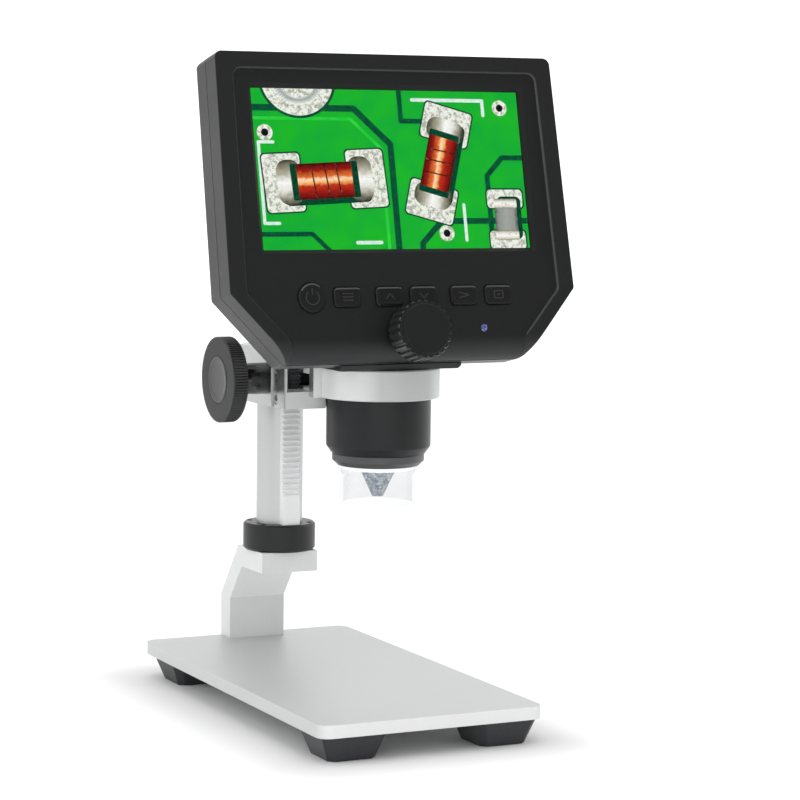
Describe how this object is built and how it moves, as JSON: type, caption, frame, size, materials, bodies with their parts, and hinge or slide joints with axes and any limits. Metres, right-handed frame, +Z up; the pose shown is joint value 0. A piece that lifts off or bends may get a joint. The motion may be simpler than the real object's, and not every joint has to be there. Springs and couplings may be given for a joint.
{
  "type": "digital microscope with screen",
  "caption": "Portable digital microscope: tilted screen head with keys and focus knob on a lens barrel, held by a ring on a rack-and-pinion column over a flat base plate.",
  "frame": {"origin": "centre of the base plate's top face, where the specimen lies", "axes": "+Z up along the column, -Y towards the user whom the screen faces, +X to the right of that user"},
  "size_m": [0.1258, 0.149, 0.2157],
  "materials": {
    "satin_aluminium": "satin anodised, fine grain",
    "black_rubber": "moulded, slightly matt",
    "black_anodised": "black anodised, satin",
    "black_plastic": "fine spark-eroded texture",
    "gloss_black": "glossy",
    "steel_screw": "zinc plated",
    "nylon": "smooth",
    "dark_metal": "black oxide",
    "clear_window": "polished",
    "clear_plastic": "clear, lightly frosted",
    "lens_glass": "polished",
    "circuit_board": "solder mask",
    "white_board": "white solder mask",
    "cell_foil": "foil",
    "screen_face": "lit picture under a glossy film",
    "lamp": "lit",
    "indicator": "lit"
  },
  "bodies": {
    "stand": {"base_plate": "satin_aluminium", "base_feet": "black_rubber", "foot_screws": "steel_screw", "support_bracket": "satin_aluminium", "bracket_screws": "steel_screw", "column": "satin_aluminium", "rack": "satin_aluminium", "rack_screws": "steel_screw", "column_collar": "black_anodised", "column_bolt": "steel_screw"},
    "carriage": {"carriage_block": "satin_aluminium", "clamp_ring": "satin_aluminium", "ring_screws": "steel_screw", "side_screws": "steel_screw", "friction_pads": "nylon", "tension_screws": "steel_screw", "ring_grub_screw": "steel_screw", "shaft_bush": "gloss_black"},
    "height_drive": {"pinion_shaft": "dark_metal", "pinion_gear": "dark_metal", "side_knob": "black_plastic", "knob_cap": "black_plastic", "knob_grub_screw": "steel_screw"},
    "head": {"front_bezel": "black_plastic", "rear_cover": "black_plastic", "cover_screws": "steel_screw", "screen_window": "clear_window", "lcd_panel": "screen_face", "main_board": "circuit_board", "battery": "cell_foil", "button_board": "circuit_board", "key_switches": "black_plastic", "indicator_lens": "indicator", "focus_bracket": "steel_screw", "sensor_board": "circuit_board", "neck_flange": "black_plastic", "neck_screws": "steel_screw", "barrel": "black_anodised", "barrel_tip": "black_anodised", "led_board": "white_board", "leds": "lamp", "nose_cone": "black_anodised", "clear_shroud": "clear_plastic", "dimmer_pot": "black_plastic", "usb_socket": "steel_screw", "card_socket": "steel_screw"},
    "focus_drive": {"focus_knob": "black_plastic", "focus_shaft": "steel_screw", "focus_gear": "nylon"},
    "lens_cell": {"lens_carrier": "black_plastic", "objective_lens": "lens_glass"},
    "key_1": {"power_button": "black_plastic"},
    "key_2": {"button_2": "black_plastic"},
    "key_3": {"button_3": "black_plastic"},
    "key_4": {"button_4": "black_plastic"},
    "key_5": {"button_5": "black_plastic"},
    "key_6": {"button_6": "black_plastic"},
    "lamp_wheel": {"dimmer_wheel": "black_rubber"}
  },
  "joints": [
    {"name": "carriage_slide", "type": "slide", "parent": "stand", "child": "carriage", "axis": [0, 0, 1], "range_m": [-0.038, 0.043]},
    {"name": "height_knob_turn", "type": "hinge", "parent": "carriage", "child": "height_drive", "pos_m": [0.0008, 0.0334, 0.0949], "axis": [1, 0, 0], "range_deg": [-600, 530]},
    {"name": "head_swivel", "type": "hinge", "parent": "carriage", "child": "head", "pos_m": [0.0216, 0.0127, 0.095], "axis": [0, 0, 1], "range_deg": [-15, 90]},
    {"name": "lens_travel", "type": "slide", "parent": "head", "child": "lens_cell", "axis": [0, 0, 1], "range_m": [-0.002, 0.012]},
    {"name": "focus_knob_turn", "type": "hinge", "parent": "head", "child": "focus_drive", "pos_m": [0.02182, -0.01048, 0.1123], "axis": [0, -0.974, 0.2267], "range_deg": [-35, 172]},
    {"name": "key_1_press", "type": "slide", "parent": "head", "child": "key_1", "axis": [0, 0.974, -0.2267], "range_m": [0, 0.0006], "stiffness_N_per_m": 300},
    {"name": "key_2_press", "type": "slide", "parent": "head", "child": "key_2", "axis": [0, 0.974, -0.2267], "range_m": [0, 0.0006], "stiffness_N_per_m": 300},
    {"name": "key_3_press", "type": "slide", "parent": "head", "child": "key_3", "axis": [0, 0.974, -0.2267], "range_m": [0, 0.0006], "stiffness_N_per_m": 300},
    {"name": "key_4_press", "type": "slide", "parent": "head", "child": "key_4", "axis": [0, 0.974, -0.2267], "range_m": [0, 0.0006], "stiffness_N_per_m": 300},
    {"name": "key_5_press", "type": "slide", "parent": "head", "child": "key_5", "axis": [0, 0.974, -0.2267], "range_m": [0, 0.0006], "stiffness_N_per_m": 300},
    {"name": "key_6_press", "type": "slide", "parent": "head", "child": "key_6", "axis": [0, 0.974, -0.2267], "range_m": [0, 0.0006], "stiffness_N_per_m": 300},
    {"name": "lamp_wheel_turn", "type": "hinge", "parent": "head", "child": "lamp_wheel", "pos_m": [0.07802, 0.00669, 0.13798], "axis": [0, -0.974, 0.2267], "range_deg": [-135, 135]}
  ],
  "couplings": [
    {"joint": "height_knob_turn", "follows": "carriage_slide", "rad_per_m": -238.1},
    {"joint": "focus_knob_turn", "follows": "lens_travel", "rad_per_m": 243.49}
  ]
}
